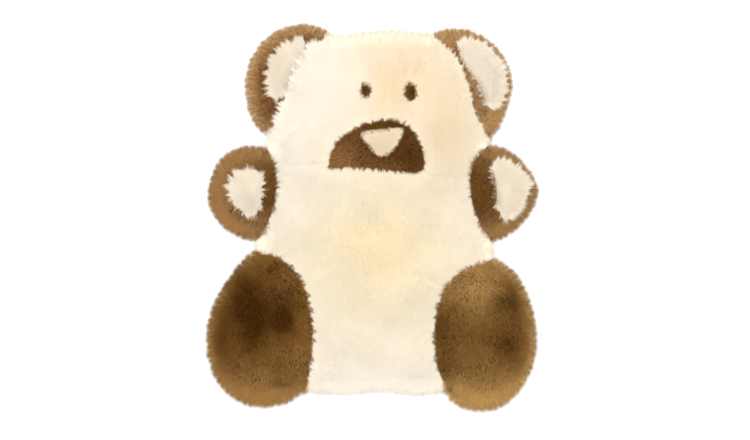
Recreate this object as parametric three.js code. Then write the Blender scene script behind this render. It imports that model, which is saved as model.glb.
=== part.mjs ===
import * as THREE from 'three';

// A bear shaped rug of dense sheepskin. It lies flat with its wool up and its head toward +Y.
// Cream and brown skins are sewn edge to edge. Each skin is one lumpy slab of wool with a flat
// underside, and the slabs that reach the outside of the rug end there in pointed locks.
// All sizes are in millimetres.

// Driving dimensions of the wool
const pileTop = 33;
const lumpRise = 3.5;
const lumpLength = 46;
const rimRound = 30;
const seamDip = 5;
const seamDipWidth = 13;
const seamGap = 0.3;

// Driving dimensions of the locks at the rim
const lockPitch = 16;
const shortestLock = 8;
const longestLock = 13;
const lockTipHeight = 4;

// Spacing of the points that shape the surfaces
const seamStep = 11;
const markStep = 2;
const surfaceStep = 21;
const surfaceClearance = 11;
const surfaceJitter = 3;

// The outer edge of the rug, clockwise from the tip of the left ear. Each row is a point: x, y.
const rims = {
  headTop: [[-94, 418], [-7, 430], [60, 431], [134, 425]],
  earRightRim: [[134, 425], [200, 436], [270, 412], [313, 357], [322, 300], [298, 226], [268, 176]],
  neckRight: [[268, 176], [264, 163]],
  armRightRim: [[264, 163], [306, 157], [358, 115], [384, 66], [369, 18], [324, -34], [274, -58]],
  waistRight: [[274, -58], [279, -80], [276, -102]],
  footRightRim: [
    [276, -102], [319, -123], [352, -172], [376, -246], [372, -346], [313, -435], [243, -452], [193, -437],
    [172, -406],
  ],
  hem: [[172, -406], [106, -413], [12, -405], [-75, -414], [-157, -406]],
  footLeftRim: [
    [-157, -406], [-216, -437], [-289, -440], [-351, -399], [-385, -312], [-371, -214], [-326, -133],
    [-273, -80],
  ],
  waistLeft: [[-273, -80], [-273, -66], [-261, -52]],
  armLeftRim: [[-261, -52], [-322, -40], [-373, 7], [-381, 74], [-343, 142], [-292, 162], [-242, 152]],
  neckLeft: [[-242, 152], [-249, 173], [-237, 194]],
  earLeftRim: [[-237, 194], [-273, 214], [-294, 290], [-278, 378], [-215, 437], [-141, 446], [-94, 418]],
};

// The seams that join the ears, arms and feet to the body, from head to foot. Each row is x, y.
const seams = {
  earLeftSeam: [[-94, 418], [-150, 396], [-190, 325], [-213, 255], [-237, 194]],
  earRightSeam: [[134, 425], [190, 377], [220, 314], [237, 246], [268, 176]],
  armLeftSeam: [[-242, 152], [-226, 98], [-231, 27], [-261, -52]],
  armRightSeam: [[264, 163], [231, 112], [236, 20], [274, -58]],
  footLeftSeam: [[-273, -80], [-200, -111], [-158, -172], [-141, -265], [-146, -345], [-157, -406]],
  footRightSeam: [[276, -102], [195, -137], [154, -204], [144, -290], [151, -352], [172, -406]],
};

// The closed seams around what is let into a skin. Each row is x, y.
const insets = {
  earLeftInset: [[-163, 414], [-215, 392], [-247, 330], [-234, 276], [-211, 290], [-191, 346], [-163, 393]],
  earRightInset: [
    [204, 407], [214, 368], [255, 300], [273, 254], [297, 264], [310, 322], [285, 380], [240, 411],
  ],
  armLeftInset: [[-310, 109], [-270, 106], [-261, 50], [-281, -2], [-333, 44], [-336, 80]],
  armRightInset: [[282, 122], [314, 130], [366, 84], [351, 32], [312, -8], [294, 16], [292, 66]],
  muzzleInset: [[-103, 116], [-84, 172], [-28, 211], [38, 223], [94, 198], [119, 110], [64, 106], [-48, 115]],
  noseInset: [[-30, 192], [22, 203], [72, 204], [44, 149], [16, 138], [-8, 160]],
};

// The eyes are let in too, as small upright ovals.
const eyes = {
  eyeLeftInset: { x: -17, y: 295, halfWidth: 12, halfHeight: 16 },
  eyeRightInset: { x: 88, y: 290, halfWidth: 14, halfHeight: 20 },
};
const eyePoints = 12;

const cream = { color: 0xf2e4c6, roughness: 0.95, metalness: 0 };
const brown = { color: 0x8b6237, roughness: 0.95, metalness: 0 };

const skins = [
  {
    name: 'body_panel',
    wool: cream,
    edge: [
      'headTop', 'earRightSeam', 'neckRight', 'armRightSeam', 'waistRight', 'footRightSeam', 'hem',
      'footLeftSeam', 'waistLeft', 'armLeftSeam', 'neckLeft', 'earLeftSeam',
    ],
    openings: ['muzzleInset', 'eyeLeftInset', 'eyeRightInset'],
  },
  { name: 'ear_left', wool: brown, edge: ['earLeftRim', 'earLeftSeam'], openings: ['earLeftInset'] },
  { name: 'ear_right', wool: brown, edge: ['earRightRim', 'earRightSeam'], openings: ['earRightInset'] },
  { name: 'ear_left_inlay', wool: cream, edge: ['earLeftInset'], openings: [] },
  { name: 'ear_right_inlay', wool: cream, edge: ['earRightInset'], openings: [] },
  { name: 'arm_left', wool: brown, edge: ['armLeftRim', 'armLeftSeam'], openings: ['armLeftInset'] },
  { name: 'arm_right', wool: brown, edge: ['armRightRim', 'armRightSeam'], openings: ['armRightInset'] },
  { name: 'arm_left_inlay', wool: cream, edge: ['armLeftInset'], openings: [] },
  { name: 'arm_right_inlay', wool: cream, edge: ['armRightInset'], openings: [] },
  { name: 'foot_left', wool: brown, edge: ['footLeftRim', 'footLeftSeam'], openings: [] },
  { name: 'foot_right', wool: brown, edge: ['footRightRim', 'footRightSeam'], openings: [] },
  { name: 'muzzle', wool: brown, edge: ['muzzleInset'], openings: ['noseInset'] },
  { name: 'nose', wool: cream, edge: ['noseInset'], openings: [] },
  { name: 'eye_left', wool: brown, edge: ['eyeLeftInset'], openings: [] },
  { name: 'eye_right', wool: brown, edge: ['eyeRightInset'], openings: [] },
];

// A smooth line through the rows of a table
function smoothLine(rows, closed) {
  const knots = rows.map(([x, y]) => new THREE.Vector3(x, y, 0));
  return new THREE.CatmullRomCurve3(knots, closed, 'centripetal');
}

// A repeatable stand-in for chance, between 0 and 1
function scatter(seed) {
  const wave = Math.sin(seed * 127.1 + 11.7) * 43758.5453;
  return wave - Math.floor(wave);
}

// How far a lock stands out across its width, from 0 in the parting to 1 at its tip. Each lock is
// a skewed point with a bulged side, given at four places.
const lockShape = [
  { across: 0, out: 0 },
  { across: 0.3, out: 0.62 },
  { across: 0.58, out: 1 },
  { across: 0.82, out: 0.5 },
];

// The rim points carry how far they lie outside the line through the middle of the locks.
function lockedRim(rows) {
  const curve = smoothLine(rows, false);
  const locks = Math.max(1, Math.round(curve.getLength() / lockPitch));
  const points = [];
  for (let lock = 0; lock < locks; lock += 1) {
    const reach = THREE.MathUtils.lerp(shortestLock, longestLock, scatter(lock + curve.getLength()));
    const endFade = Math.min(1, (lock + 0.5) / 2, (locks - lock - 0.5) / 2);
    lockShape.forEach(({ across, out }) => {
      const along = (lock + across) / locks;
      const place = curve.getPointAt(along);
      const heading = curve.getTangentAt(along);
      const outside = along === 0 ? 0 : (out - 0.5) * reach * endFade;
      points.push({ x: place.x - heading.y * outside, y: place.y + heading.x * outside, outside });
    });
  }
  const end = curve.getPointAt(1);
  points.push({ x: end.x, y: end.y, outside: 0 });
  return points;
}

function plainLine(rows, step) {
  const curve = smoothLine(rows, false);
  return curve.getSpacedPoints(Math.max(2, Math.round(curve.getLength() / step)));
}

function closedSeam(rows, step) {
  const curve = smoothLine(rows, true);
  return curve.getSpacedPoints(Math.round(curve.getLength() / step)).slice(0, -1);
}

function eyeSeam({ x, y, halfWidth, halfHeight }) {
  return new THREE.EllipseCurve(x, y, halfWidth, halfHeight).getPoints(eyePoints).slice(0, -1);
}

function mapTable(table, make) {
  return Object.fromEntries(Object.entries(table).map(([name, row]) => [name, make(row)]));
}

const openLines = {
  ...mapTable(rims, lockedRim),
  ...mapTable(seams, (rows) => plainLine(rows, seamStep)),
};
const closedLines = {
  ...mapTable(insets, (rows) => closedSeam(rows, seamStep)),
  ...mapTable(eyes, eyeSeam),
};

// Points along the rim and along every seam, for measuring how near a place is to them
const rimMarks = Object.values(rims).flatMap((rows) => plainLine(rows, markStep));
const seamMarks = [
  ...Object.values(seams).flatMap((rows) => plainLine(rows, markStep)),
  ...Object.values(insets).flatMap((rows) => closedSeam(rows, markStep)),
  ...Object.values(eyes).flatMap(eyeSeam),
];

function nearest(marks, { x, y }) {
  const closer = (least, mark) => Math.min(least, (mark.x - x) ** 2 + (mark.y - y) ** 2);
  return Math.sqrt(marks.reduce(closer, Infinity));
}

// Slow unevenness of the wool, between -1 and 1
function lumps({ x, y }) {
  const broad = Math.sin(x / lumpLength + 1.4 * Math.sin(y / lumpLength));
  const fine = Math.sin(y / (0.6 * lumpLength) + 1.1 * Math.sin(x / (0.7 * lumpLength)) + 2);
  return 0.6 * broad * fine + 0.4 * fine;
}

// Height of the wool: level inside, sunk along the seams, bent down to the tips of the locks
function woolHeight(point) {
  const inward = point.outside === undefined ? nearest(rimMarks, point) : -point.outside;
  const inside = THREE.MathUtils.clamp((inward + longestLock / 2) / (rimRound + longestLock / 2), 0, 1);
  const dip = seamDip * Math.exp(-((nearest(seamMarks, point) / seamDipWidth) ** 2));
  const level = pileTop + lumpRise * lumps(point) - dip;
  return lockTipHeight + (level - lockTipHeight) * Math.sin((inside * Math.PI) / 2);
}

function sameSpot(a, b) {
  return Math.hypot(a.x - b.x, a.y - b.y) < 1e-6;
}

// Joins lines end to end into one closed outline, turning round those that run the other way.
function chain(names) {
  if (names.length === 1) {
    return [...closedLines[names[0]]];
  }
  const first = openLines[names[0]];
  const second = openLines[names[1]];
  const startsRight = [second[0], second.at(-1)].some((end) => sameSpot(end, first.at(-1)));
  const outline = startsRight ? [...first] : [...first].reverse();
  names.slice(1).forEach((name) => {
    const line = openLines[name];
    const next = sameSpot(line[0], outline.at(-1)) ? line : [...line].reverse();
    outline.push(...next.slice(1));
  });
  return outline.slice(0, -1);
}

function turned(outline, counterClockwise) {
  const isCounterClockwise = THREE.ShapeUtils.area(outline) > 0;
  return isCounterClockwise === counterClockwise ? outline : [...outline].reverse();
}

// Draws an outline in by half the gap at the seams, so that neighbouring skins stay apart.
// The material lies to the left of the direction of travel.
function drawnIn(outline) {
  const sharpestTurn = 0.1;
  return outline.map((point, i) => {
    const before = outline.at(i - 1);
    const after = outline[(i + 1) % outline.length];
    const [a, b] = [[before, point], [point, after]].map(([from, to]) => {
      const length = Math.hypot(to.x - from.x, to.y - from.y);
      return { x: (from.y - to.y) / length, y: (to.x - from.x) / length };
    });
    const scale = (seamGap / 2) / Math.max(sharpestTurn, 1 + a.x * b.x + a.y * b.y);
    return { ...point, x: point.x + (a.x + b.x) * scale, y: point.y + (a.y + b.y) * scale };
  });
}

function isInside({ x, y }, outline) {
  return outline.reduce((inside, a, i) => {
    const b = outline.at(i - 1);
    const crosses = (a.y > y) !== (b.y > y) && x < a.x + ((y - a.y) * (b.x - a.x)) / (b.y - a.y);
    return crosses ? !inside : inside;
  }, false);
}

// Points over the surface of a skin, in staggered rows clear of its edges
function surfacePoints(edge, openings) {
  const xs = edge.map(({ x }) => x);
  const ys = edge.map(({ y }) => y);
  const rowStep = surfaceStep * Math.sqrt(0.75);
  const points = [];
  const firstRow = Math.ceil(Math.min(...ys) / rowStep);
  for (let row = firstRow; row * rowStep < Math.max(...ys); row += 1) {
    const stagger = row % 2 === 0 ? 0 : 0.5;
    const firstColumn = Math.ceil(Math.min(...xs) / surfaceStep);
    for (let column = firstColumn; (column + stagger) * surfaceStep < Math.max(...xs); column += 1) {
      const seed = row * 97 + column;
      const point = {
        x: (column + stagger) * surfaceStep + surfaceJitter * (scatter(seed) - 0.5),
        y: row * rowStep + surfaceJitter * (scatter(seed + 0.5) - 0.5),
      };
      const onSkin = isInside(point, edge) && !openings.some((opening) => isInside(point, opening));
      if (onSkin && nearest([...edge, ...openings.flat()], point) > surfaceClearance) {
        points.push(point);
      }
    }
  }
  return points;
}

// Squared radius and centre of the circle through three points
function circleThrough(a, b, c) {
  const [bx, by, cx, cy] = [b.x - a.x, b.y - a.y, c.x - a.x, c.y - a.y];
  const twiceCross = 2 * (bx * cy - by * cx);
  const x = (cy * (bx * bx + by * by) - by * (cx * cx + cy * cy)) / twiceCross;
  const y = (bx * (cx * cx + cy * cy) - cx * (bx * bx + by * by)) / twiceCross;
  return { x: a.x + x, y: a.y + y, squared: x * x + y * y };
}

// Joins scattered points into well shaped triangles, counter-clockwise: each point is added in
// turn, and the triangles whose circle it falls in are made anew around it.
function triangulate(points) {
  const far = 1e4;
  const enclosing = [{ x: -far, y: -far }, { x: far, y: -far }, { x: 0, y: far }];
  const all = [...points, ...enclosing];
  const makeTriangle = (corners) => ({ corners, circle: circleThrough(...corners.map((i) => all[i])) });
  let triangles = [makeTriangle([points.length, points.length + 1, points.length + 2])];
  points.forEach((point, added) => {
    const holds = ({ circle }) => (point.x - circle.x) ** 2 + (point.y - circle.y) ** 2 < circle.squared;
    const opened = triangles.filter(holds);
    const sides = opened.flatMap(({ corners: [a, b, c] }) => [[a, b], [b, c], [c, a]]);
    const known = new Set(sides.map(([from, to]) => `${from} ${to}`));
    const border = sides.filter(([from, to]) => !known.has(`${to} ${from}`));
    triangles = triangles.filter((triangle) => !holds(triangle));
    triangles.push(...border.map(([from, to]) => makeTriangle([from, to, added])));
  });
  return triangles.map(({ corners }) => corners).filter((corners) => Math.max(...corners) < points.length);
}

function skinGeometry({ edge, openings }) {
  const outer = drawnIn(turned(chain(edge), true));
  const holes = openings.map((name) => drawnIn(turned(chain([name]), false)));
  const loops = [outer, ...holes];
  const border = loops.flat();
  const points = [...border, ...surfacePoints(outer, holes)];

  const onSkin = (corners) => {
    const middle = {
      x: corners.reduce((sum, i) => sum + points[i].x / 3, 0),
      y: corners.reduce((sum, i) => sum + points[i].y / 3, 0),
    };
    return isInside(middle, outer) && !holes.some((hole) => isInside(middle, hole));
  };
  const top = triangulate(points).filter(onSkin);
  const under = THREE.ShapeUtils.triangulateShape(
    outer.map(({ x, y }) => new THREE.Vector2(x, y)),
    holes.map((hole) => hole.map(({ x, y }) => new THREE.Vector2(x, y))),
  );

  const topRows = points.map((point) => [point.x, point.y, woolHeight(point)]);
  const underRows = border.map(({ x, y }) => [x, y, 0]);
  const underStart = points.length;
  const faces = [...top];
  faces.push(...under.map(([a, b, c]) => [underStart + a, underStart + c, underStart + b]));
  let loopStart = 0;
  loops.forEach((loop) => {
    loop.forEach((_, i) => {
      const here = loopStart + i;
      const next = loopStart + ((i + 1) % loop.length);
      faces.push([underStart + here, underStart + next, next], [underStart + here, next, here]);
    });
    loopStart += loop.length;
  });

  const geometry = new THREE.BufferGeometry();
  geometry.setAttribute('position', new THREE.Float32BufferAttribute([...topRows, ...underRows].flat(), 3));
  geometry.setIndex(faces.flat());
  geometry.computeVertexNormals();
  return geometry;
}

const rug = new THREE.Group();
skins.forEach((skin) => {
  const mesh = new THREE.Mesh(skinGeometry(skin), new THREE.MeshStandardMaterial(skin.wool));
  mesh.name = skin.name;
  rug.add(mesh);
});

// The origin is at the middle of the underside.
const extent = new THREE.Box3().setFromObject(rug);
const middle = extent.getCenter(new THREE.Vector3());
rug.position.set(-middle.x, -middle.y, -extent.min.z);

export default rug;
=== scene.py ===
import math

import bmesh
import bpy
import numpy as np
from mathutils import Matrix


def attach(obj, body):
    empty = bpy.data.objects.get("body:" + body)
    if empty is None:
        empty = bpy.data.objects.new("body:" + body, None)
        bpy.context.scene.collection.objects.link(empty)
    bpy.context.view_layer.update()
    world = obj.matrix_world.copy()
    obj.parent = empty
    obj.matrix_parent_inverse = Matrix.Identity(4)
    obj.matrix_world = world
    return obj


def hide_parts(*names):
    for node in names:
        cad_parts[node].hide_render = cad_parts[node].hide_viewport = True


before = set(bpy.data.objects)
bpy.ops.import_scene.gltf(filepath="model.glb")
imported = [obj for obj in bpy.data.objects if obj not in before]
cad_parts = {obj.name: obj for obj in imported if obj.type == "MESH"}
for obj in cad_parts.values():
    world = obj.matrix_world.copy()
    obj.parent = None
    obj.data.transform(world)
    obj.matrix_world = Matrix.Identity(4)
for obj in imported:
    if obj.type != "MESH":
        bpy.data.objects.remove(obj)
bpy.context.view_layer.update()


# The camera looks straight down on the rug with the head of the bear up, from far enough away
# that the outline shows with hardly any perspective.
camera_height = 4.0
view_width = 1.7625
view_centre = (0.0054, -0.0063)

camera = bpy.data.objects.new("camera", bpy.data.cameras.new("camera"))
camera.data.sensor_width = 36
camera.data.lens = camera.data.sensor_width * camera_height / view_width
camera.location = (*view_centre, camera_height)
bpy.context.scene.collection.objects.link(camera)
bpy.context.scene.camera = camera


# The skins. The rug is pieced from tanned sheepskins, cut by knife from the flesh side and sewn
# edge to edge into one flat sheet of suede about 2 mm thick, which lies on the floor. The wool
# hides its outer edge, which ends a little inside the tips of the locks.
suede_thickness = 0.002
suede_inset = 0.007
suede_buff = (0.56, 0.42, 0.27, 1.0)
nap_scale = 700.0
nap_depth = 0.0004
seam_reach = 0.0015
rim_smoothing = 0.016


def solid_of(node):
    """The CAD solid of a node with its loose triangles joined."""
    solid = bmesh.new()
    solid.from_mesh(bpy.data.objects[node].data)
    bmesh.ops.remove_doubles(solid, verts=solid.verts, dist=1e-6)
    return solid


def is_wall(face):
    return abs(face.normal.z) < 0.02


def edge_of(node):
    """Places along the foot of a node's walls, and the way out from each, scaled by its length."""
    solid = solid_of(node)
    spots, ways = [], []
    for face in filter(is_wall, solid.faces):
        low = [corner.co for corner in face.verts if corner.co.z < 1e-6]
        if len(low) == 2:
            spots.append(((low[0] + low[1]) / 2)[:2])
            ways.append((face.normal * (low[0] - low[1]).length)[:2])
    solid.free()
    return np.array(spots), np.array(ways)


def distances(places, spots):
    return np.linalg.norm(places[:, None] - spots[None], axis=2)


nodes = sorted(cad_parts)
edges = {node: edge_of(node) for node in nodes}
sewn_to = {}
for node in nodes:
    others = [other for other in nodes if other != node]
    apart = np.column_stack([distances(edges[node][0], edges[other][0]).min(axis=1) for other in others])
    nearest = np.array(others)[apart.argmin(axis=1)]
    sewn_to[node] = np.where(apart.min(axis=1) < seam_reach, nearest, "")
rim_spots = np.concatenate([edges[node][0][sewn_to[node] == ""] for node in nodes])
rim_ways = np.concatenate([edges[node][1][sewn_to[node] == ""] for node in nodes])


def rim_beside(places):
    """For each place: how far the rim is, the smoothed way out, and the smooth line through the
    middle of the locks there."""
    apart = distances(places, rim_spots)
    weights = np.exp(-((apart / rim_smoothing) ** 2)) + 1e-30
    outward = weights @ rim_ways
    outward /= np.linalg.norm(outward, axis=1)[:, None] + 1e-12
    weights *= np.linalg.norm(rim_ways, axis=1)
    return apart.min(axis=1), outward, weights @ rim_spots / weights.sum(axis=1)[:, None]


def draw_in(solid, inset, reach=0.004):
    """Moves the corners on a piece's rim to the smooth line through its locks, less an inset."""
    border = [corner for corner in solid.verts if corner.is_boundary or any(map(is_wall, corner.link_faces))]
    away, outward, line = rim_beside(np.array([corner.co[:2] for corner in border]))
    for corner, is_rim, place in zip(border, away < reach, line - inset * outward):
        if is_rim:
            corner.co.x, corner.co.y = place


def add_object(name, mesh, *materials):
    for material in materials:
        mesh.materials.append(material)
    made = bpy.data.objects.new(name, mesh)
    bpy.context.scene.collection.objects.link(made)
    return made


class Wire:
    """An output in a node tree. Arithmetic on wires adds Math or Vector Math nodes."""

    def __init__(self, tree, socket=None):
        self.tree = tree
        self.socket = socket

    def new(self, kind, inputs=None, output=0, **settings):
        node = self.tree.nodes.new(kind)
        for name, value in settings.items():
            setattr(node, name, value)
        for name, value in (inputs or {}).items():
            if isinstance(value, Wire):
                self.tree.links.new(value.socket, node.inputs[name])
            else:
                node.inputs[name].default_value = value
        return Wire(self.tree, node.outputs[output])

    def out(self, output):
        return Wire(self.tree, self.socket.node.outputs[output])

    def apply(self, operation, *others, output=0):
        return self.maths(operation, (self, *others), output)

    def maths(self, operation, operands, output=0):
        wires = [operand for operand in operands if isinstance(operand, Wire)]
        vector = any(isinstance(operand, tuple) for operand in operands)
        vector = vector or any(wire.socket.type in ("VECTOR", "RGBA") for wire in wires)
        if vector:
            operands = [(x, x, x) if isinstance(x, (int, float)) else x for x in operands]
        kind = "ShaderNodeVectorMath" if vector else "ShaderNodeMath"
        return self.new(kind, dict(enumerate(operands)), output, operation=operation)

    def mix(self, factor, other):
        inputs = {"Factor": factor, "A": self, "B": other}
        return self.new("ShaderNodeMix", inputs, output=2, data_type="RGBA")

    def __add__(self, other):
        return self.apply("ADD", other)

    def __sub__(self, other):
        return self.apply("SUBTRACT", other)

    def __mul__(self, other):
        return self.apply("MULTIPLY", other)

    def __truediv__(self, other):
        return self.apply("DIVIDE", other)

    def __pow__(self, other):
        return self.apply("POWER", other)

    def __mod__(self, other):
        return self.apply("FLOORED_MODULO", other)

    def __rsub__(self, other):
        return self.maths("SUBTRACT", (other, self))

    def __rtruediv__(self, other):
        return self.maths("DIVIDE", (other, self))

    __radd__ = __add__
    __rmul__ = __mul__


suede_mesh = bmesh.new()
for node in nodes:
    skin = solid_of(node)
    top = [face for face in skin.faces if max(corner.co.z for corner in face.verts) > 1e-6]
    bmesh.ops.delete(skin, geom=top, context="FACES")
    draw_in(skin, suede_inset)
    raised = bmesh.ops.extrude_face_region(skin, geom=list(skin.faces))["geom"]
    for corner in raised:
        if isinstance(corner, bmesh.types.BMVert):
            corner.co.z = suede_thickness
    bmesh.ops.recalc_face_normals(skin, faces=skin.faces)
    piece = bpy.data.meshes.new(node)
    skin.to_mesh(piece)
    suede_mesh.from_mesh(piece)
    bpy.data.meshes.remove(piece)
    skin.free()
suede_data = bpy.data.meshes.new("suede")
suede_mesh.to_mesh(suede_data)
suede_mesh.free()

suede_finish = bpy.data.materials.new("suede")
suede_finish.use_nodes = True
napped = suede_finish.node_tree.nodes["Principled BSDF"]
napped.inputs["Base Color"].default_value = suede_buff
napped.inputs["Roughness"].default_value = 0.95
nap = Wire(suede_finish.node_tree).new("ShaderNodeTexCoord", output="Object")
nap = nap.new("ShaderNodeTexNoise", {"Vector": nap, "Scale": nap_scale, "Detail": 3.0})
nap = nap.new("ShaderNodeBump", {"Height": nap, "Strength": 0.4, "Distance": nap_depth})
nap.tree.links.new(nap.socket, napped.inputs["Normal"])

suede = add_object("suede", suede_data, suede_finish)
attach(suede, "root")


# The head and trunk: one cream skin, its wool shorn to an even depth. A dense crimped underwool
# carries finer upright staples, which part into small pointed locks and lean out over the rim and
# the seams. The other pieces are grown by the same functions, each in its own sizes.
cream_rise = 0.76
brown_rise = 0.71
underwool_inset = 0.006
underwool_foot = 0.0023
underwool_rim = 0.018
underwool_band = 0.012
crimp_scale = 420.0
crimp_depth = 0.001
rim_reach = 0.042
rim_sweep = 0.017
seam_smoothing = 0.009
seam_spread = 0.013
crease_width = 0.007
least_lean = 0.010
lean_fade = 0.03
overhang = 0.008
parting = 0.006
lowest = 0.002
lowest_tip = 0.0005
spill_lift = 0.35
fringe_clumps = 45.0
wander_scale = 26.0
cloud_scale = 13.0
patch_fall = 2.5


def staple_tree():
    """Geometry nodes that stand staples on a surface: each is a narrow pointed blade whose tip lies
    on the surface and whose foot lies below it in the underwool. Density is per square metre, Width
    a blade's width at the foot, and Rise the height of the foot as a share of the tip's. Tumble
    turns the blades about their length, and Upright turns up the face of those that would show
    their back. Locks of size Lock draw together by Gather, Stray and Loft scatter the tips, Swirl
    bends the lie of the wool, and Fringe is how far the longest tips run out past the rim."""
    tree = bpy.data.node_groups.new("staples", "GeometryNodeTree")
    tree.is_modifier = True
    sockets = {
        "Geometry": "Geometry",
        "Density": "Float",
        "Width": "Float",
        "Rise": "Float",
        "Tumble": "Float",
        "Upright": "Float",
        "Lock": "Float",
        "Gather": "Float",
        "Stray": "Float",
        "Loft": "Float",
        "Swirl": "Float",
        "Swirl Size": "Float",
        "Fringe": "Float",
        "Seed": "Int",
        "Wool": "Material",
    }
    for name, kind in sockets.items():
        tree.interface.new_socket(name, in_out="INPUT", socket_type=f"NodeSocket{kind}")
    tree.interface.new_socket("Geometry", in_out="OUTPUT", socket_type="NodeSocketGeometry")
    start = Wire(tree).new("NodeGroupInput")
    given = {name: start.out(name) for name in sockets}

    def attribute(name, kind="FLOAT"):
        return start.new("GeometryNodeInputNamedAttribute", {"Name": name}, data_type=kind)

    def store(geometry, name, value, kind="FLOAT", domain="POINT"):
        inputs = {"Geometry": geometry, "Name": name, "Value": value}
        return start.new("GeometryNodeStoreNamedAttribute", inputs, data_type=kind, domain=domain)

    def chance(offset, low=-1.0, high=1.0):
        seed = given["Seed"] + offset
        return start.new("FunctionNodeRandomValue", {2: low, 3: high, "Seed": seed}, output=1)

    def noise(scale, detail=0.0, output="Fac"):
        inputs = {"Vector": place, "Scale": scale, "Detail": detail}
        return start.new("ShaderNodeTexNoise", inputs, output)

    def combine(x=0.0, y=0.0, z=0.0):
        return start.new("ShaderNodeCombineXYZ", {0: x, 1: y, 2: z})

    inputs = {"Mesh": given["Geometry"], "Density": given["Density"], "Seed": given["Seed"]}
    points = start.new("GeometryNodeDistributePointsOnFaces", inputs)
    place = start.new("GeometryNodeInputPosition")
    level = (1.0, 1.0, 0.0)

    # The tips run out past the rim in an uneven fringe, draw together into locks, and lie over the
    # seams in tufts. A few stand above the rest, and those at the rim droop.
    rim = attribute("rim")
    fringe = rim ** 4.0 * chance(8, 0.0, 1.0) ** 1.5 * (0.5 + noise(fringe_clumps)) * given["Fringe"]
    fringe = attribute("rim_way", "FLOAT_VECTOR") * fringe
    flow = (noise(1.0 / given["Swirl Size"], 1.0, "Color") - (0.5, 0.5, 0.5)) * (2.0 * given["Swirl"])
    gathered = noise(0.6 / given["Lock"], 1.0, "Color") - (0.5, 0.5, 0.5)
    gathered = gathered * (given["Lock"] * given["Gather"] * (0.5 - 0.35 * rim))
    tuft = start.new("ShaderNodeClamp", {0: noise(1.5 / given["Lock"]) * 5.0 - 1.9})
    spill = attribute("spill", "FLOAT_VECTOR") * ((0.2 + 0.8 * tuft) * chance(11, 0.2, 1.15))
    lift = combine(z=spill.apply("LENGTH", output="Value") * spill_lift)
    loft = chance(12, 0.0, 1.0) ** 5.0 * given["Loft"]
    stray = combine(chance(1), chance(2), chance(3) * 0.5) * given["Stray"] + combine(z=loft)
    height = start.new("ShaderNodeSeparateXYZ", {0: place}, "Z")
    droop = combine(z=rim ** 6.0 * chance(13, 0.0, 0.75) * height)
    tip = place + (gathered + spill) * level + lift + fringe + stray - droop
    tip = tip.apply("MAXIMUM", (-1.0, -1.0, lowest_tip))

    # The foot lies back along the lean of the wool. The blade's width is set across the two.
    foot = place - (attribute("lean", "FLOAT_VECTOR") + flow) * level
    foot = foot - combine(z=height * (1.0 - given["Rise"]))
    span = tip - foot
    facing = combine(chance(4) * given["Tumble"], chance(5) * given["Tumble"], 0.8)
    across = span.apply("CROSS_PRODUCT", facing)
    face = start.new("ShaderNodeSeparateXYZ", {0: across.apply("CROSS_PRODUCT", span)}, "Z")
    face_down = face.apply("LESS_THAN", 0.0)
    across = across.apply("NORMALIZE") * (1.0 - face_down * given["Upright"] * 2.0)

    # Light falls on the blades as on the smooth surface of the wool, tilted along its lean.
    normal = points.out("Normal") + attribute("lean", "FLOAT_VECTOR") * 10.0
    normal = normal + combine(chance(9), chance(10), 10.0) * 0.08
    points = store(points, "upward", normal.apply("NORMALIZE"), "FLOAT_VECTOR")
    points = store(points, "foot", foot, "FLOAT_VECTOR")
    points = store(points, "span", span, "FLOAT_VECTOR")
    half_width = given["Width"] * chance(6, 0.35, 0.65)
    points = store(points, "across", across * half_width, "FLOAT_VECTOR")
    clump = start.new("ShaderNodeClamp", {0: noise(3.5 / given["Lock"], 1.0) * 5.0 - 2.0})
    points = store(points, "shade", clump * 0.75 + chance(7, 0.0, 0.25))

    # Each blade is one triangle: two corners at its foot, aside from it, and one at its tip.
    blade = start.new("GeometryNodeMeshCircle", {"Vertices": 3}, fill_type="NGON")
    staples = start.new("GeometryNodeInstanceOnPoints", {"Points": points, "Instance": blade})
    staples = start.new("GeometryNodeRealizeInstances", {"Geometry": staples})
    index = start.new("GeometryNodeInputIndex")

    def per_corner(*values):
        node = tree.nodes.new("GeometryNodeIndexSwitch")
        node.data_type = "FLOAT"
        while len(node.index_switch_items) < len(values):
            node.index_switch_items.new()
        tree.links.new((index % 3.0).socket, node.inputs["Index"])
        for socket, value in zip(node.inputs[1:], values):
            socket.default_value = value
        return Wire(tree, node.outputs[0])

    along = per_corner(0.0, 0.0, 1.0)
    aside = per_corner(-1.0, 1.0, 0.0)
    blade_place = attribute("foot", "FLOAT_VECTOR") + attribute("span", "FLOAT_VECTOR") * along
    blade_place = blade_place + attribute("across", "FLOAT_VECTOR") * aside
    staples = start.new("GeometryNodeSetPosition", {"Geometry": staples, "Position": blade_place})
    staples = start.new("GeometryNodeSetShadeSmooth", {"Geometry": staples})
    inputs = {"Mesh": staples, "Custom Normal": attribute("upward", "FLOAT_VECTOR")}
    staples = start.new("GeometryNodeSetMeshNormal", inputs, mode="FREE", domain="POINT")
    staples = store(staples, "along", along)

    # Each blade has its own cell in a square grid on the piece's map.
    count = start.new("GeometryNodeAttributeDomainSize", {0: points}, component="POINTCLOUD")
    rows = count ** 0.5
    rows = rows.apply("CEIL")
    number = (index / 3.0).apply("FLOOR")
    row = (number / rows).apply("FLOOR")
    cell = combine((number % rows + 0.5 + aside * 0.4) / rows, (row + 0.1 + along * 0.8) / rows)
    staples = store(staples, "OFBake", cell, "FLOAT2", "CORNER")
    for name in ("foot", "span", "across", "upward", "lean", "spill", "rim_way"):
        staples = start.new("GeometryNodeRemoveAttribute", {"Geometry": staples, "Name": name})
    staples = start.new("GeometryNodeSetMaterial", {"Geometry": staples, "Material": given["Wool"]})
    end = tree.nodes.new("NodeGroupOutput")
    tree.links.new(staples.socket, end.inputs[0])
    return tree


staples_tree = staple_tree()


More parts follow.
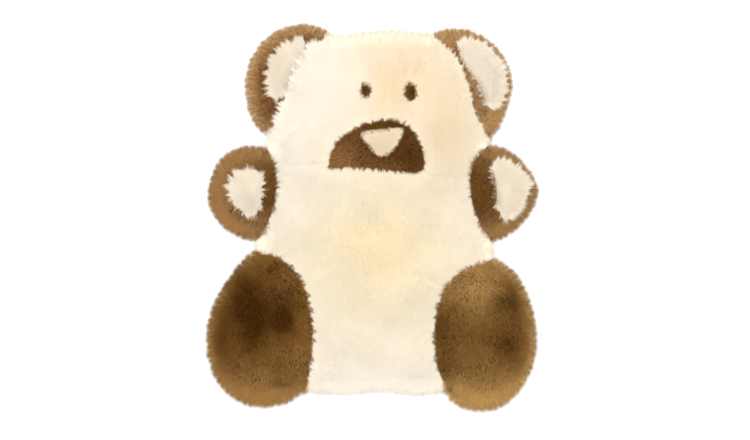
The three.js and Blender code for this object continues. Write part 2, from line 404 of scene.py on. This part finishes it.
def wool_surface(node, lean, middle, spread, spills, dip, creases):
    """The upper surface of a CAD slab, its rim made smooth, with what the staples need on it."""
    surface = solid_of(node)
    hidden = [face for face in surface.faces if face.normal.z < 0.05]
    bmesh.ops.delete(surface, geom=hidden, context="FACES")
    draw_in(surface, 0)
    for _ in range(2):
        bmesh.ops.subdivide_edges(surface, edges=surface.edges, cuts=1, use_grid_fill=True)
        inner = [corner for corner in surface.verts if not corner.is_boundary]
        for _ in range(3):
            bmesh.ops.smooth_vert(surface, verts=inner, factor=0.5, use_axis_z=True)
    mesh = bpy.data.meshes.new(f"{node}_surface")
    surface.to_mesh(mesh)
    surface.free()
    corners = np.array([corner.co for corner in mesh.vertices])

    # How near the rim each corner is, and how near which seam, with the way out over it.
    places = corners[:, :2]
    away, outward, line = rim_beside(places)
    rim = np.clip(1 - away / rim_reach, 0, 1)
    rim = rim * rim * (3 - 2 * rim)
    apart = distances(places, edges[node][0])
    reaches = np.array([spills.get(other, 0) for other in sewn_to[node]])
    weights = np.exp(-((apart / seam_smoothing) ** 2)) + 1e-30
    beside = np.clip(1 - apart.min(axis=1) / seam_spread, 0, 1)
    out = weights @ edges[node][1]
    clear = np.linalg.norm(out, axis=1) + 1e-12
    out /= clear[:, None]
    spill = weights @ (edges[node][1] * reaches[:, None]) * (beside / clear)[:, None]

    # The wool leans away from the middle, never less than a little, and out over its seams except
    # where it lies clearly inward.
    radial = places - np.array(middle)
    radial /= np.linalg.norm(radial, axis=1)[:, None] + lean_fade
    leaning = np.array(lean) + radial * spread + outward * (rim * rim_sweep)[:, None]
    length = np.linalg.norm(leaning, axis=1)
    leaning *= (np.maximum(length, least_lean) / (length + 1e-9))[:, None]
    toward = (leaning * out).sum(axis=1)
    lacking = np.maximum(overhang * np.minimum(2 * beside, 1) - toward, 0)
    lacking *= np.minimum(2 * beside, 1) * np.clip(1.5 + toward / parting, 0, 1)
    leaning += out * lacking[:, None]

    # The wool dips in narrow places, between two seams, and in the creases of the skin.
    narrow = 1 - clear / (weights @ np.linalg.norm(edges[node][1], axis=1))
    corners[:, 2] = np.maximum(corners[:, 2] - dip * narrow * beside, lowest)
    for depth, *path in creases:
        path = np.array(path)
        steps = np.linspace(0, len(path) - 1, 40 * len(path))
        spots = np.column_stack([np.interp(steps, range(len(path)), path[:, axis]) for axis in (0, 1)])
        near = distances(places, spots).min(axis=1) / crease_width
        corners[:, 2] -= depth * np.exp(-(near ** 2))
    mesh.vertices.foreach_set("co", corners.ravel())

    level = np.zeros(len(places))
    layers = {
        "rim": rim,
        "rim_way": np.column_stack([outward, level]),
        "spill": np.column_stack([spill, level]),
        "lean": np.column_stack([leaning, level]),
    }
    for name, values in layers.items():
        kind, key = ("FLOAT", "value") if values.ndim == 1 else ("FLOAT_VECTOR", "vector")
        mesh.attributes.new(name, kind, "POINT").data.foreach_set(key, values.ravel())
    return mesh


def lay_underwool(node, colour, rise):
    """The dense underwool of one piece: a closed lumpy slab on the suede, inside its locks."""
    slab = solid_of(node)
    draw_in(slab, underwool_inset)
    away = rim_beside(np.array([corner.co[:2] for corner in slab.verts]))[0]
    for corner, is_rim in zip(slab.verts, away < underwool_band):
        if corner.co.z < 1e-6:
            corner.co.z = underwool_foot
        else:
            corner.co.z = max(corner.co.z, underwool_rim if is_rim else 0) * rise
    bmesh.ops.recalc_face_normals(slab, faces=slab.faces)
    mesh = bpy.data.meshes.new(f"{node}_underwool")
    slab.to_mesh(mesh)
    slab.free()
    finish = bpy.data.materials.new(f"{node}_underwool")
    finish.use_nodes = True
    matted = finish.node_tree.nodes["Principled BSDF"]
    matted.inputs["Roughness"].default_value = 1.0
    matted.inputs["Specular IOR Level"].default_value = 0.0
    crimp = Wire(finish.node_tree).new("ShaderNodeTexCoord", output="Object")
    crimp = crimp.new("ShaderNodeTexNoise", {"Vector": crimp, "Scale": crimp_scale, "Detail": 4.0})
    deep = tuple(0.85 * part for part in colour[:3]) + (1.0,)
    tint = crimp.new("ShaderNodeMix", {"Factor": crimp, "A": deep, "B": colour}, output=2, data_type="RGBA")
    bump = crimp.new("ShaderNodeBump", {"Height": crimp, "Strength": 0.6, "Distance": crimp_depth})
    finish.node_tree.links.new(tint.socket, matted.inputs["Base Color"])
    finish.node_tree.links.new(bump.socket, matted.inputs["Normal"])
    return add_object(mesh.name, mesh, finish)


def grow_wool(
    node,
    wool,
    sizes,
    lean=(0.0, 0.0),
    middle=(0.0, 0.0),
    spread=0.0,
    spills=None,
    dip=0.0,
    creases=(),
    parts=1,
):
    """Grows the staples of one piece and leaves them as plain meshes, in one or more parts. They
    lean by lean all over and by spread away from the middle. spills is how far they lie over each
    neighbour, dip how much lower they are between two seams, and creases are depths and paths."""
    surface = wool_surface(node, lean, middle, spread, spills or {}, dip, creases)
    carrier = add_object("carrier", surface)
    modifier = carrier.modifiers.new("staples", "NODES")
    modifier.node_group = staples_tree
    grown = []
    for part in range(parts):
        given = {**sizes, "Density": sizes["Density"] / parts, "Wool": wool}
        given["Seed"] = 10 * nodes.index(node) + part
        for item in staples_tree.interface.items_tree:
            if item.in_out == "INPUT" and item.name in given:
                modifier[item.identifier] = given[item.name]
        carrier.update_tag()
        bpy.context.view_layer.update()
        evaluated = carrier.evaluated_get(bpy.context.evaluated_depsgraph_get())
        mesh = bpy.data.meshes.new_from_object(evaluated)
        mesh.materials.pop(index=0)  # the carrier's own slot, which is empty
        mesh.name = f"{node}_staples" + (f"_{part + 1}" if parts > 1 else "")
        grown.append(add_object(mesh.name, mesh))
    bpy.data.objects.remove(carrier)
    bpy.data.meshes.remove(surface)
    return grown


def wool_finish(name, foot, tip, pale, rim_tip, patches=(), streak=0.6, wander=0.05, rim_fall=3.0):
    """Wool coloured from foot to tip, each staple a little its own, with clouds of paler wool and
    paler tips at the rim. Each patch is a colour and its marks on the piece, given as x, y, half
    width, half height and strength. Their outlines wander."""
    material = bpy.data.materials.new(name)
    material.use_nodes = True
    tree = material.node_tree
    tree.nodes.clear()
    place = Wire(tree).new("ShaderNodeTexCoord", output="Object")
    along = place.new("ShaderNodeAttribute", output="Fac", attribute_name="along")
    shade = place.new("ShaderNodeAttribute", output="Fac", attribute_name="shade")
    rim = place.new("ShaderNodeAttribute", output="Fac", attribute_name="rim")
    inputs = {"Vector": place, "Scale": wander_scale, "Detail": 3.0}
    drift = place.new("ShaderNodeTexNoise", inputs, "Color") - (0.5, 0.5, 0.5)
    wandered = (place + drift * wander) * (1.0, 1.0, 0.0)
    inputs = {"Vector": place * (1.0, 1.0, 0.0), "Scale": cloud_scale, "Detail": 4.0}
    clouds = place.new("ShaderNodeTexNoise", inputs)
    clouds = place.new("ShaderNodeMapRange", {"Value": clouds, "From Min": 0.35, "From Max": 0.65})
    ends = place.new("ShaderNodeMix", {"Factor": clouds, "A": tip, "B": pale}, output=2, data_type="RGBA")
    ends = ends.mix(rim ** rim_fall, rim_tip)
    root = foot
    for colour, *marks in patches:
        total = 0.0
        for x, y, half_width, half_height, strength in marks:
            offset = (wandered - (x, y, 0.0)) * (1.0 / half_width, 1.0 / half_height, 0.0)
            total = strength / (1.0 + offset.apply("LENGTH", output="Value") ** patch_fall) + total
        ends = ends.mix(total, colour)
        inputs = {"Factor": total * 0.5, "A": root, "B": colour}
        root = place.new("ShaderNodeMix", inputs, output=2, data_type="RGBA")
    ends = ends.mix(shade * streak, root)
    ends = place.new("ShaderNodeMix", {"Factor": along, "A": root, "B": ends}, output=2, data_type="RGBA")
    inputs = {"Base Color": ends, "Roughness": 1.0, "Specular IOR Level": 0.0}
    surface = place.new("ShaderNodeBsdfPrincipled", inputs)
    end = tree.nodes.new("ShaderNodeOutputMaterial")
    tree.links.new(surface.socket, end.inputs["Surface"])
    return material


shorn = {
    "Density": 1500000,
    "Width": 0.00228,
    "Rise": 0.77,
    "Tumble": 0.9,
    "Upright": 1.0,
    "Lock": 0.013,
    "Gather": 0.4,
    "Stray": 0.0024,
    "Loft": 0.0,
    "Swirl": 0.003,
    "Swirl Size": 0.11,
    "Fringe": 0.011,
}
cream_root = (0.92, 0.81, 0.63, 1.0)
cream_tip = (0.95, 0.85, 0.68, 1.0)
cream_pale = (0.96, 0.90, 0.80, 1.0)
cream_rim = (0.96, 0.91, 0.82, 1.0)
cream_yellow = (0.90, 0.72, 0.46, 1.0)
# The wool's own yellow, made brighter as painted light.
yellowed_lit_cream = (0.99, 0.85, 0.56, 1.0)
# The palest cream, used for patches of painted light.
painted_light_cream = (0.97, 0.92, 0.84, 1.0)
body_finish = wool_finish(
    "body_staples",
    foot=cream_root,
    tip=cream_tip,
    pale=cream_pale,
    rim_tip=cream_rim,
    patches=(
        # The palest patches are painted light, brightening the wool on the head, at both sides and along the
        # hem.
        (
            painted_light_cream,
            (-0.12, 0.33, 0.12, 0.11, 0.8),
            (0.0, -0.38, 0.30, 0.06, 0.9),
            (-0.20, 0.10, 0.06, 0.2, 0.6),
            (0.22, 0.03, 0.04, 0.13, 0.6),
        ),
        # On the chest: the wool's real yellow, painted brighter as painted light.
        (yellowed_lit_cream, (0.04, -0.08, 0.12, 0.13, 0.8), (-0.03, -0.07, 0.10, 0.06, 0.5)),
        (
            cream_yellow,
            (0.036, 0.30, 0.05, 0.06, 0.6),
            (0.10, 0.34, 0.07, 0.09, 0.55),
            (0.18, 0.20, 0.05, 0.10, 0.7),
        ),
    ),
)
body_spills = {
    "ear_left": 0.020,
    "ear_left_inlay": 0.006,
    "ear_right_inlay": 0.006,
    "ear_right": 0.010,
    "arm_left": 0.005,
    "arm_right": 0.003,
    "foot_left": 0.006,
    "foot_right": 0.006,
    "muzzle": -0.002,
    "eye_left": 0.004,
    "eye_right": 0.005,
}
body_creases = (
    (0.0025, (-0.213, 0.193), (-0.147, 0.217), (-0.084, 0.215)),
    (0.0025, (-0.206, 0.118), (-0.147, 0.123), (-0.100, 0.111)),
    (0.0020, (0.128, 0.095), (0.241, 0.088)),
    (0.0015, (0.030, 0.428), (0.031, 0.252)),
    (0.0025, (0.099, -0.135), (0.170, -0.164)),
)


def fit(pieces, node):
    """Sets the wool of one skin on the suede, in the place of its CAD slab."""
    for piece in pieces:
        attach(piece, "root")
        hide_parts(node)


cream = [lay_underwool("body_panel", cream_root, cream_rise)]
cream += grow_wool(
    "body_panel",
    body_finish,
    shorn,
    lean=(0.0, -0.001),
    middle=(-0.01, 0.17),
    spread=0.010,
    spills=body_spills,
    creases=body_creases,
    parts=3,
)
fit(cream, "body_panel")


# The ears: each a brown skin with a cream one let into it, both sewn in at the outline of the
# head. The brown wool stands outward from the cream and is bleached golden at its tips.
brown_root = (0.14, 0.06, 0.016, 1.0)
brown_wool = {**shorn, "Tumble": 2.0, "Upright": 0.0, "Gather": 0.6, "Loft": 0.002, "Swirl": 0.005}
# The inlays' cream is darker than the head's: painted shade, for the shade that falls in the ears and arms.
shaded_inlay_finish = wool_finish(
    "shaded_inlay_staples",
    foot=(0.82, 0.71, 0.54, 1.0),
    tip=(0.85, 0.75, 0.59, 1.0),
    pale=(0.90, 0.82, 0.71, 1.0),
    rim_tip=cream_rim,
)
ear_golden = (0.66, 0.39, 0.165, 1.0)
ear_finish = wool_finish(
    "ear_staples",
    foot=(0.16, 0.068, 0.018, 1.0),
    tip=(0.36, 0.165, 0.05, 1.0),
    pale=(0.54, 0.29, 0.11, 1.0),
    rim_tip=(0.95, 0.62, 0.30, 1.0),
    patches=(
        (
            ear_golden,
            (0.275, 0.225, 0.05, 0.06, 0.9),
            (0.23, 0.31, 0.03, 0.07, 0.6),
            (0.17, 0.41, 0.05, 0.02, 0.6),
        ),
    ),
    streak=0.85,
)
# Each ear, its inlay, where their wool leans away from, and how far the inlay's wool lies over
# the head and over the brown.
ears = (
    ("ear_left", "ear_left_inlay", (-0.13, 0.32), (0.002, 0.020)),
    ("ear_right", "ear_right_inlay", (0.15, 0.32), (0.002, 0.018)),
)
for ear, inlay, middle, (body_reach, inlay_reach) in ears:
    brown = [lay_underwool(ear, brown_root, brown_rise)]
    sweeps = {"lean": (0.0, -0.002), "middle": middle, "spread": 0.010, "dip": 0.009}
    brown += grow_wool(ear, ear_finish, brown_wool, **sweeps)
    cream = [lay_underwool(inlay, cream_root, cream_rise)]
    spills = {ear: inlay_reach, "body_panel": body_reach}
    cream += grow_wool(inlay, shaded_inlay_finish, shorn, middle=middle, spread=0.008, spills=spills)
    fit(brown, ear)
    fit(cream, inlay)


# The arms: cut and pieced as the ears are, rounder, their brown dark beside the body.
arm_golden = (0.49, 0.27, 0.105, 1.0)
arm_finish = wool_finish(
    "arm_staples",
    foot=(0.12, 0.045, 0.006, 1.0),
    tip=(0.125, 0.046, 0.004, 1.0),
    pale=(0.22, 0.093, 0.018, 1.0),
    rim_tip=(0.80, 0.52, 0.25, 1.0),
    patches=(
        (
            arm_golden,
            (-0.35, 0.05, 0.045, 0.09, 1.0),
            (-0.30, -0.02, 0.06, 0.03, 0.9),
            (-0.30, 0.14, 0.05, 0.03, 0.6),
            (0.29, -0.035, 0.05, 0.035, 0.9),
            (0.30, 0.14, 0.05, 0.03, 0.7),
            (0.34, 0.05, 0.03, 0.08, 0.9),
        ),
    ),
    streak=0.85,
)
arms = (
    ("arm_left", "arm_left_inlay", (-0.26, 0.06)),
    ("arm_right", "arm_right_inlay", (0.26, 0.06)),
)
for arm, inlay, middle in arms:
    brown = [lay_underwool(arm, brown_root, brown_rise)]
    brown += grow_wool(arm, arm_finish, brown_wool, middle=middle, spread=0.009, spills={"body_panel": 0.014})
    cream = [lay_underwool(inlay, cream_root, cream_rise)]
    cream += grow_wool(inlay, shaded_inlay_finish, shorn, middle=middle, spread=0.008, spills={arm: 0.018})
    fit(brown, arm)
    fit(cream, inlay)


# The feet: two large brown skins, their wool finer and closer than the rest, darker in patches
# in the middle and golden where the light has bleached the toe and rim.
foot_wool = {**brown_wool, "Lock": 0.016, "Swirl": 0.010, "Swirl Size": 0.09}
foot_golden = (0.58, 0.32, 0.105, 1.0)
foot_pale = (0.74, 0.44, 0.155, 1.0)
foot_dark = (0.058, 0.019, 0.002, 1.0)
foot_left_finish = wool_finish(
    "foot_left_staples",
    foot=(0.18, 0.078, 0.015, 1.0),
    tip=(0.34, 0.153, 0.032, 1.0),
    pale=(0.52, 0.27, 0.08, 1.0),
    rim_tip=(0.86, 0.55, 0.23, 1.0),
    patches=(
        (foot_golden, (-0.27, -0.405, 0.13, 0.05, 1.0)),
        (
            foot_dark,
            (-0.285, -0.245, 0.028, 0.062, 0.95),
            (-0.208, -0.24, 0.028, 0.038, 1.0),
            (-0.25, -0.235, 0.08, 0.08, 0.25),
            (-0.355, -0.29, 0.022, 0.06, 0.55),
            (-0.315, -0.155, 0.05, 0.065, 0.5),
            (-0.205, -0.385, 0.03, 0.012, 0.5),
        ),
    ),
    streak=0.85,
    rim_fall=7.0,
)
foot_right_finish = wool_finish(
    "foot_right_staples",
    foot=(0.19, 0.083, 0.017, 1.0),
    tip=(0.36, 0.17, 0.040, 1.0),
    pale=(0.46, 0.235, 0.063, 1.0),
    rim_tip=(0.92, 0.63, 0.29, 1.0),
    patches=(
        (foot_pale, (0.235, -0.165, 0.05, 0.045, 1.0), (0.25, -0.425, 0.14, 0.05, 1.0)),
        (
            foot_dark,
            (0.325, -0.19, 0.022, 0.045, 0.65),
            (0.320, -0.30, 0.022, 0.03, 0.6),
            (0.16, -0.26, 0.02, 0.06, 0.45),
            (0.24, -0.28, 0.11, 0.06, 0.35),
            (0.17, -0.36, 0.02, 0.03, 0.4),
        ),
    ),
    streak=0.85,
    rim_fall=6.0,
)
feet = (
    ("foot_left", foot_left_finish, (-0.25, -0.13)),
    ("foot_right", foot_right_finish, (0.24, -0.14)),
)
for foot, finish, middle in feet:
    brown = [lay_underwool(foot, brown_root, brown_rise)]
    sweeps = {"lean": (0.0, -0.002), "middle": middle, "spread": 0.012, "spills": {"body_panel": 0.013}}
    brown += grow_wool(foot, finish, foot_wool, **sweeps)
    fit(brown, foot)


# The muzzle and nose: a brown half round let into the head, with a cream triangle let into it,
# both shorn close so that their edges stay clean. The brown wool is combed down to the mouth.
close = {**shorn, "Width": 0.00247, "Stray": 0.0015}
muzzle_wool = {**close, "Tumble": 2.0, "Upright": 0.0, "Loft": 0.002}
muzzle_warm = (0.50, 0.25, 0.09, 1.0)
muzzle_dark = (0.13, 0.050, 0.009, 1.0)
muzzle_finish = wool_finish(
    "muzzle_staples",
    foot=(0.11, 0.044, 0.009, 1.0),
    tip=(0.145, 0.056, 0.010, 1.0),
    pale=(0.24, 0.11, 0.03, 1.0),
    rim_tip=(0.30, 0.15, 0.05, 1.0),
    patches=(
        (muzzle_warm, (-0.075, 0.135, 0.045, 0.035, 0.9), (0.05, 0.118, 0.03, 0.012, 0.4)),
        (muzzle_dark, (0.07, 0.16, 0.03, 0.04, 0.6), (0.02, 0.215, 0.06, 0.012, 0.6)),
    ),
)
muzzle = [lay_underwool("muzzle", brown_root, brown_rise)]
sweeps = {"lean": (0.0, -0.002), "middle": (0.01, 0.16), "spread": 0.009}
spills = {"body_panel": 0.012, "nose": 0.008}
muzzle += grow_wool("muzzle", muzzle_finish, muzzle_wool, spills=spills, **sweeps)
fit(muzzle, "muzzle")

nose_finish = wool_finish(
    "nose_staples",
    foot=(0.84, 0.69, 0.48, 1.0),
    tip=(0.88, 0.74, 0.52, 1.0),
    pale=(0.92, 0.81, 0.63, 1.0),
    rim_tip=cream_rim,
)
nose = [lay_underwool("nose", cream_root, cream_rise)]
nose += grow_wool("nose", nose_finish, close, middle=(0.025, 0.19), spread=0.010, spills={"muzzle": 0.005})
fit(nose, "nose")


# The eyes: two small brown tufts sewn into the head, shorn with the cream wool round them. Their
# locks spread over it a little, in a fine star.
eye_wool = {**close, "Upright": 0.0, "Width": 0.00304, "Density": 2500000, "Gather": 0.8, "Lock": 0.007}
pupil_dark = (0.04, 0.014, 0.002, 1.0)
eye_finish = wool_finish(
    "eye_staples",
    foot=(0.14, 0.058, 0.012, 1.0),
    tip=(0.17, 0.070, 0.013, 1.0),
    pale=(0.24, 0.11, 0.03, 1.0),
    rim_tip=(0.22, 0.10, 0.025, 1.0),
    patches=((pupil_dark, (-0.018, 0.297, 0.009, 0.014, 0.75), (0.093, 0.295, 0.010, 0.016, 0.75)),),
    wander=0.006,
)
eyes = (("eye_left", (-0.018, 0.297)), ("eye_right", (0.090, 0.295)))
for eye, middle in eyes:
    tuft = [lay_underwool(eye, brown_root, brown_rise)]
    tuft += grow_wool(eye, eye_finish, eye_wool, middle=middle, spread=0.004, spills={"body_panel": 0.009})
    fit(tuft, eye)


# The studio: a plain pale floor under a large soft lamp and an even white sky.
floor_grey = 0.85
floor_reach = 6.0
sky_strength = 1.30
lamp_power = 55
lamp_size = 2.5
lamp_place = (-0.2, 0.9, 3.3)
lamp_turn = (math.radians(-15), math.radians(-3), 0)

floor_mesh = bpy.data.meshes.new("floor")
floor_corners = [(x * floor_reach, y * floor_reach, 0) for x, y in ((-1, -1), (1, -1), (1, 1), (-1, 1))]
floor_mesh.from_pydata(floor_corners, [], [(0, 1, 2, 3)])
floor_finish = bpy.data.materials.new("floor")
floor_finish.use_nodes = True
floor_finish.node_tree.nodes["Principled BSDF"].inputs["Base Color"].default_value = (*3 * [floor_grey], 1)
floor = add_object("floor", floor_mesh, floor_finish)

world = bpy.data.worlds.new("studio")
world.use_nodes = True
world.node_tree.nodes["Background"].inputs["Color"].default_value = (1, 1, 1, 1)
world.node_tree.nodes["Background"].inputs["Strength"].default_value = sky_strength
bpy.context.scene.world = world
lamp_data = bpy.data.lights.new("softbox", "AREA")
lamp_data.shape = "SQUARE"
lamp_data.size = lamp_size
lamp_data.energy = lamp_power
lamp = bpy.data.objects.new("softbox", lamp_data)
lamp.location = lamp_place
lamp.rotation_euler = lamp_turn
bpy.context.scene.collection.objects.link(lamp)
bpy.context.scene.view_settings.view_transform = "Standard"
